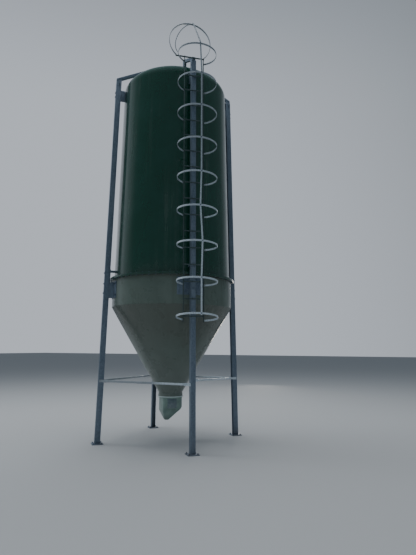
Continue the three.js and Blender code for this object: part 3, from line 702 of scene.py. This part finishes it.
lidSet = {
    "radius": 0.300,
    "rim": 0.045,
    "rise": 0.070,
    "seat": 6.5326,
    "crown": ((0.8, 0.55), (0.45, 0.9), (0.0, 1.0)),    # shares of the radius and of the rise
    "bevel": 0.006,
    "segments": 3,
    "steps": 72,
}
bm = bmesh.new()
seat, lidR = lidSet["seat"], lidSet["radius"]
rimTop = seat + lidSet["rim"]
outline = [(0.0, seat), (lidR, seat), (lidR, rimTop)]
outline += [(lidR * across, rimTop + lidSet["rise"] * up) for across, up in lidSet["crown"]]
spinOutline(bm, outline, lidSet["steps"])
mergeDoubles(bm)
bevelSharp(bm, lidSet["bevel"], lidSet["segments"], meshSet["corner"])
finishPiece(bm, "fillingLid", tankMaterial, ["roof_lid"])
print("tank ready")

bm = bmesh.new()
innerR, flangeR = bodyRadius(flangeZ) - wall, tankSet["flangeR"]
spinOutline(
    bm, [(innerR, flangeZ), (flangeR, flangeZ), (flangeR, flangeTop), (innerR, flangeTop)], tankSet["steps"]
)
bevelSharp(bm, tankSet["flangeBevel"], limit=meshSet["corner"])
finishPiece(bm, "flangeRing", tankMaterial, ["tank_flange"])

# none where a leg stands
flangeBoltSet = {"radius": 1.070, "count": 60, "clear": 4.0, "bolt": (0.014, 0.008, 0.011)}
bm = bmesh.new()
for i in range(flangeBoltSet["count"]):
    angle = 360 / flangeBoltSet["count"] * (i + 0.5)
    fromLeg = (angle - 45) % 90
    if min(fromLeg, 90 - fromLeg) < flangeBoltSet["clear"]:
        continue
    spot = tankAxis @ Matrix.Rotation(rad(angle), 4, "Z") @ Vector((flangeBoltSet["radius"], 0, 0))
    addBolt(bm, (spot.x, spot.y, flangeZ), (0, 0, -1), *flangeBoltSet["bolt"])
    addBolt(bm, (spot.x, spot.y, flangeTop), (0, 0, 1), *flangeBoltSet["bolt"])
finishPiece(bm, "flangeBolts", boltMaterial)

hopperSet = {
    "skirtR": 1.046,
    "skirtFoot": 2.228,
    "coneFootR": 0.200,
    "coneFoot": 0.780,
    "collarFoot": 0.7286,
    "collarFootR": 0.210,
    "collarTopR": 0.205,
    "topWall": 1.4,    # width of the cone's top rim, in walls
    "rows": 10,
}
bm = bmesh.new()
skirtR, skirtFoot = hopperSet["skirtR"], hopperSet["skirtFoot"]
skirtLow, skirtHigh = skirtFoot + gap, flangeZ - gap
spinOutline(
    bm,
    [(skirtR, skirtLow), (skirtR, skirtHigh), (skirtR - wall, skirtHigh), (skirtR - wall, skirtLow)],
    tankSet["steps"],
)
finishPiece(bm, "skirtShell", hopperMaterial, ["hopper_skirt"])

bm = bmesh.new()
coneFootR, coneFoot = hopperSet["coneFootR"], hopperSet["coneFoot"]
collarTopR, collarFoot = hopperSet["collarTopR"], hopperSet["collarFoot"]
coneSlope = (skirtFoot - coneFoot) / (skirtR - coneFootR)
outer = [(hopperSet["collarFootR"], collarFoot)]
for i in range(hopperSet["rows"] + 1):
    radius = collarTopR + (skirtR - collarTopR) * i / hopperSet["rows"]
    outer.append((radius, coneFoot + (radius - coneFootR) * coneSlope))
inner = [
    (skirtR - wall * hopperSet["topWall"], skirtFoot),
    (coneFootR - wall, coneFoot + wall),
    (coneFootR - wall, collarFoot),
]
spinOutline(bm, outer + inner, tankSet["steps"])
finishPiece(bm, "coneShell", hopperMaterial, ["hopper_cone"])
print("hopper ready")

# outlet
outletSet = {
    "turn": -135,
    "ringR": 0.215,
    "boreR": 0.150,
    "ringFoot": 0.7123,
    "ringThick": 0.016,
    "ringBevel": 0.002,
    "steps": 96,
    "bootBevel": 0.006,
    "bootSegments": 3,
    "bootEdge": 20,    # the boot's folds steeper than this are rounded
    "windowBevel": 0.002,
}
ringFoot, ringTop = outletSet["ringFoot"], outletSet["ringFoot"] + outletSet["ringThick"]
boreR, ringR = outletSet["boreR"], outletSet["ringR"]
bm = bmesh.new()
outline = [(boreR, ringFoot), (ringR, ringFoot), (ringR, ringTop), (boreR, ringTop)]
spinOutline(bm, outline, outletSet["steps"])
bevelSharp(bm, outletSet["ringBevel"], limit=meshSet["corner"])
finishPiece(bm, "outletRing", rimHighlightMaterial, ["outlet_flange"])

bm = cadCopy("outlet_boot")
bevelSharp(bm, outletSet["bootBevel"], outletSet["bootSegments"], outletSet["bootEdge"])
finishPiece(bm, "outletBoot", bootMaterial, ["outlet_boot"])

bm = cadCopy("outlet_window")
bevelSharp(bm, outletSet["windowBevel"])
finishPiece(bm, "sightWindow", windowMaterial, ["outlet_window"])

windowSet = {
    "across": (-0.055, 0.018, 0.091),
    "heights": (0.5415, 0.6825),
    "face": 0.1723,
    "bolt": (0.008, 0.004, 0.006),
}
outletFrame = tankAxis @ Matrix.Rotation(rad(outletSet["turn"]), 4, "Z")
outward = outletFrame.to_3x3() @ Vector((0, 1, 0))
bm = bmesh.new()
for x in windowSet["across"]:
    for z in windowSet["heights"]:
        addBolt(bm, outletFrame @ Vector((x, windowSet["face"], z)), outward, *windowSet["bolt"])
finishPiece(bm, "windowBolts", boltMaterial)
print("outlet ready")

# legs, plates, arms and brackets: CAD node, name of the piece, bevel
cornerSet = (
    ("leg_{}", "leg_{}_steel", 0.0022),
    ("base_plate_{}", "basePlate_{}", 0.0020),
    ("top_arm_{}", "topArm_{}", 0.0030),
    ("top_bracket_{}", "topBracket_{}", 0.0015),
    ("hopper_bracket_{}", "saddle_{}", meshSet["smallest"]),
)
for place in siloSet["corners"]:
    for nodeName, pieceName, bevel in cornerSet:
        bm = cadCopy(nodeName.format(place))
        bevelSharp(bm, bevel)
        finishPiece(bm, pieceName.format(place), zincMaterial, [nodeName.format(place)])

jointSet = {
    "plateBolt": 0.066,    # anchor bolts stand this far from the plate's middle
    "plateTop": 0.012,
    "anchor": (0.019, 0.014, 0.015),
    "saddleR": 1.0526,
    "saddleTurns": (-10.3, -5.6, 5.6, 10.3),
    "saddleHeights": (2.410, 2.610),
    "saddleBolt": (0.019, 0.010, 0.016),
    "strapHeights": (2.455, 2.615, 2.80),
    "upperHeights": (6.045, 6.125),
    "pairHalf": 0.018,
    "legBolt": (0.017, 0.009, 0.014),
    "armHeights": (6.265, 6.300),
    "armShift": 0.01,
    "armBolt": (0.015, 0.008, 0.012),
}
bm = bmesh.new()
for place in siloSet["corners"]:
    turn = cornerFrame(place)
    away = turn.to_3x3() @ Vector((1, 0, 0))
    for x, y in ((-1, -1), (-1, 1), (1, -1), (1, 1)):
        x, y = footRadius + x * jointSet["plateBolt"], y * jointSet["plateBolt"]
        addBolt(bm, turn @ Vector((x, y, jointSet["plateTop"])), (0, 0, 1), *jointSet["anchor"])
    for angle in jointSet["saddleTurns"]:
        aside = turn @ Matrix.Rotation(rad(angle), 4, "Z")
        for height in jointSet["saddleHeights"]:
            spot = aside @ Vector((jointSet["saddleR"], 0, height))
            addBolt(bm, spot, aside.to_3x3() @ Vector((1, 0, 0)), *jointSet["saddleBolt"])
    for height in jointSet["strapHeights"] + jointSet["upperHeights"]:
        face = legRadius(height) + siloSet["legDepth"] / 2
        for side in (-1, 1):
            spot = turn @ Vector((face, side * jointSet["pairHalf"], height))
            addBolt(bm, spot, away, *jointSet["legBolt"])
    for height in jointSet["armHeights"]:
        for side in (-1, 1):
            along = legRadius(height) - jointSet["armShift"] * side
            spot = turn @ Vector((along, side * siloSet["legWidth"] / 2, height))
            addBolt(bm, spot, turn.to_3x3() @ Vector((0, side, 0)), *jointSet["armBolt"])
finishPiece(bm, "frameBolts", boltMaterial)
print("legs ready")

# braces
braceBevel = 0.0015
for place in ("front", "right", "back", "left"):
    bm = cadCopy("brace_" + place)
    bevelSharp(bm, braceBevel, limit=meshSet["corner"])
    finishPiece(
        bm, "brace_" + place + "_tube", braceMaterial, ["brace_" + place], meshSet["round"]
    )
print("braces ready")

# ladder
ladderSet = {
    "plane": 0.05897,    # rungs' middle line, outwards from the leg's axis
    "foot": 1.930,
    "top": 6.380,
    "half": 0.160,
    "stileThick": 0.008,
    "stileDepth": 0.040,
    "rungR": 0.010,
    "rungEnd": 0.0065,
    "rungSides": 16,
    "firstRung": 2.020,
    "rungPitch": 0.268,
    "rungs": 16,
    "railHeight": 0.024,
    "railLeft": -0.315,
    "railRight": 0.175,
    "bevel": 0.0015,
}
bm = bmesh.new()
ladderX = ladderSet["plane"]
length = ladderSet["top"] - ladderSet["foot"]
for side in (-1, 1):
    middle = Matrix.Translation((ladderX, side * ladderSet["half"], ladderSet["foot"] + length / 2))
    addBlock(bm, (ladderSet["stileDepth"], ladderSet["stileThick"], length), middle)
railMiddle = (ladderSet["railLeft"] + ladderSet["railRight"]) / 2
railWidth = ladderSet["railRight"] - ladderSet["railLeft"]
railPlace = Matrix.Translation((ladderX, railMiddle, ladderSet["top"] - ladderSet["railHeight"] / 2))
addBlock(bm, (ladderSet["stileThick"], railWidth, ladderSet["railHeight"]), railPlace)
bevelSharp(bm, ladderSet["bevel"])
end = ladderSet["half"] + ladderSet["rungEnd"]
for i in range(ladderSet["rungs"]):
    rungZ = ladderSet["firstRung"] + ladderSet["rungPitch"] * i
    addRod(bm, (ladderX, -end, rungZ), (ladderX, end, rungZ), ladderSet["rungR"], ladderSet["rungSides"])
bmesh.ops.transform(bm, matrix=cageFrame, verts=bm.verts)
finishPiece(bm, "ladderSteel", ladderShadeMaterial, ["ladder"])

# cage; each hoop has the height of its middle, the tilt that lifts its outer side, and the
# strap's sideways sway there
hoopSet = {
    "radius": 0.3094,
    "centre": 0.300,
    "height": 0.027,
    "thick": 0.006,
    "clear": 0.0008,
    "roll": -2.5,
    "steps": 72,
    "hung": (
        (1.987, 5.3, -0.007),
        (2.519, 2.3, -0.006),
        (3.073, 0, 0.010),
        (3.609, 0, -0.022),
        (4.145, -1, -0.005),
        (4.681, -1, -0.009),
        (5.217, -1, -0.008),
        (5.753, -1, 0.0),
        (6.270, -5, -0.021),
    ),
    "strapThick": 0.0063,
    "outerBolt": (0.012, 0.006, 0.010),
    "innerBolt": (0.012, 0.005, 0.010),
    "archBevel": 0.0010,
}
near, far = hoopSet["radius"] - hoopSet["thick"] / 2, hoopSet["radius"] + hoopSet["thick"] / 2
low, high = -hoopSet["height"] / 2, hoopSet["height"] / 2


def hoopPlace(height, tilt):
    reach = far * math.cos(rad(tilt)) + high * abs(math.sin(rad(tilt)))
    middle = Matrix.Translation((hoopSet["centre"] + far - reach, 0, height))
    turn = Matrix.Rotation(rad(-tilt), 4, "Y") @ Matrix.Rotation(rad(hoopSet["roll"]), 4, "X")
    return cageFrame @ middle @ turn


# the hoops end at the outsides of the stiles
stileSide = ladderSet["half"] + ladderSet["stileThick"] / 2 + hoopSet["clear"]
openAngle = math.degrees(math.asin(stileSide / near))
for i, (height, tilt, sway) in enumerate(hoopSet["hung"], 1):
    bm = bmesh.new()
    spinOutline(
        bm,
        [(near, low), (far, low), (far, high), (near, high)],
        hoopSet["steps"],
        hoopPlace(height, tilt),
        -180 + openAngle,
        360 - 2 * openAngle,
    )
    mergeDoubles(bm)
    bmesh.ops.recalc_face_normals(bm, faces=bm.faces)
    bevelSharp(bm, meshSet["smallest"], limit=meshSet["corner"])
    finishPiece(bm, "hoop_" + str(i), brightMaterial, ["cage_hoop_" + str(i)])

bm = cadCopy("cage_strap")
bevelSharp(bm, meshSet["smallest"])
finishPiece(bm, "cageStrap", brightMaterial, ["cage_strap"])

bm = cadCopy("guard_arch")
bevelSharp(bm, hoopSet["archBevel"], limit=meshSet["corner"])
finishPiece(bm, "guardArch", brightMaterial, ["guard_arch"], meshSet["round"])

bm = bmesh.new()
for height, tilt, sway in hoopSet["hung"]:
    hung = hoopPlace(height, tilt)
    along = hung.to_3x3() @ Vector((1, 0, 0))
    forward = math.cos(math.asin(sway / hoopSet["radius"]))
    front = cageFrame.inverted() @ hung @ Vector((far * forward, sway, 0))
    outside = cageFrame @ Vector((hoopSet["centre"] + far + hoopSet["strapThick"], sway, front.z))
    addBolt(bm, outside, cageFrame.to_3x3() @ Vector((1, 0, 0)), *hoopSet["outerBolt"])
    addBolt(bm, hung @ Vector((near * forward, sway, 0)), -along, *hoopSet["innerBolt"])
finishPiece(bm, "cageBolts", boltMaterial)
print("ladder and cage ready")

# floor and light
floorSet = {"half": 80.0, "Base Color": (0.46, 0.47, 0.48, 1), "Roughness": 0.9}
bm = bmesh.new()
bmesh.ops.create_grid(bm, x_segments=1, y_segments=1, size=floorSet["half"])
floorMesh = bpy.data.meshes.new("studioFloor")
bm.to_mesh(floorMesh)
bm.free()
studioFloor = bpy.data.objects.new("studioFloor", floorMesh)
scene.collection.objects.link(studioFloor)
floorMaterial = bpy.data.materials.new("paleFloor")
floorMaterial.use_nodes = True
floorShader = floorMaterial.node_tree.nodes["Principled BSDF"]
for key in ("Base Color", "Roughness"):
    floorShader.inputs[key].default_value = floorSet[key]
floorMesh.materials.append(floorMaterial)

# a soft grey surround: dim behind the camera, bright behind the silo
worldSet = {
    "front": (0.090, 0.120, 0.135, 1),
    "back": (0.520, 0.560, 0.620, 1),
    "above": (0.170, 0.200, 0.240, 1),
    "strength": 1.0,
    "brightSide": 136,    # degrees from +X
    "sideBand": (0.15, 0.95),
    "aboveBand": (0.45, 0.95),
}
world = bpy.data.worlds.new("softStudio")
scene.world = world
world.use_nodes = True
sky = world.node_tree
skyShader = sky.nodes["Background"]
skyShader.inputs["Strength"].default_value = worldSet["strength"]
skyVector = addNode(sky, "ShaderNodeTexCoord").outputs["Generated"]
brightAim = (math.cos(rad(worldSet["brightSide"])), math.sin(rad(worldSet["brightSide"])), 0)
facing = addNode(sky, "ShaderNodeVectorMath", {1: brightAim}, operation="DOT_PRODUCT")
sky.links.new(skyVector, facing.inputs[0])
side = rangeNode(sky, facing.outputs["Value"], *worldSet["sideBand"])
above = rangeNode(sky, splitPlace(sky, skyVector)["Z"], *worldSet["aboveBand"])
skyColour = mixColour(sky, side, worldSet["front"], worldSet["back"])
skyColour = mixColour(sky, above, skyColour, worldSet["above"])
sky.links.new(skyColour, skyShader.inputs["Color"])

lampAim = Vector((0, 0, 3.4))
lamps = [
    {
        "name": "topSoft",
        "place": (-1.0, 1.0, 14.0),
        "size": (11, 11),
        "power": 1500,
        "colour": (0.95, 0.98, 1.0),
        "diffuse": True,
        "glossy": False,
    },
    {
        "name": "sideSoft",
        "place": (-9.5, -2.6, 8.5),
        "size": (4, 5),
        "power": 260,
        "colour": (0.94, 0.97, 1.0),
        "diffuse": True,
        "glossy": False,
    },
    {
        "name": "edgeSoft",    # a narrow reflection down the tank's right edge
        "place": (-2.3, 11.8, 4.5),
        "size": (1.2, 8),
        "power": 200,
        "colour": (1.0, 0.96, 0.88),
        "diffuse": False,
        "glossy": True,
    },
    {
        "name": "lowSoft",
        "place": (4.0, -9.0, 2.6),
        "size": (4, 3),
        "power": 60,
        "colour": (0.94, 0.97, 1.0),
        "diffuse": True,
        "glossy": False,
    },
]
for lamp in lamps:
    lampData = bpy.data.lights.new(lamp["name"], "AREA")
    lampData.shape = "RECTANGLE"
    lampData.size, lampData.size_y = lamp["size"]
    lampData.energy = lamp["power"]
    lampData.color = lamp["colour"]
    lampObject = bpy.data.objects.new(lamp["name"], lampData)
    lampObject.location = lamp["place"]
    lampObject.rotation_euler = (lampAim - Vector(lamp["place"])).to_track_quat("-Z", "Y").to_euler()
    lampObject.visible_camera = False
    lampObject.visible_diffuse = lamp["diffuse"]
    lampObject.visible_glossy = lamp["glossy"]
    scene.collection.objects.link(lampObject)
print("floor and light ready")
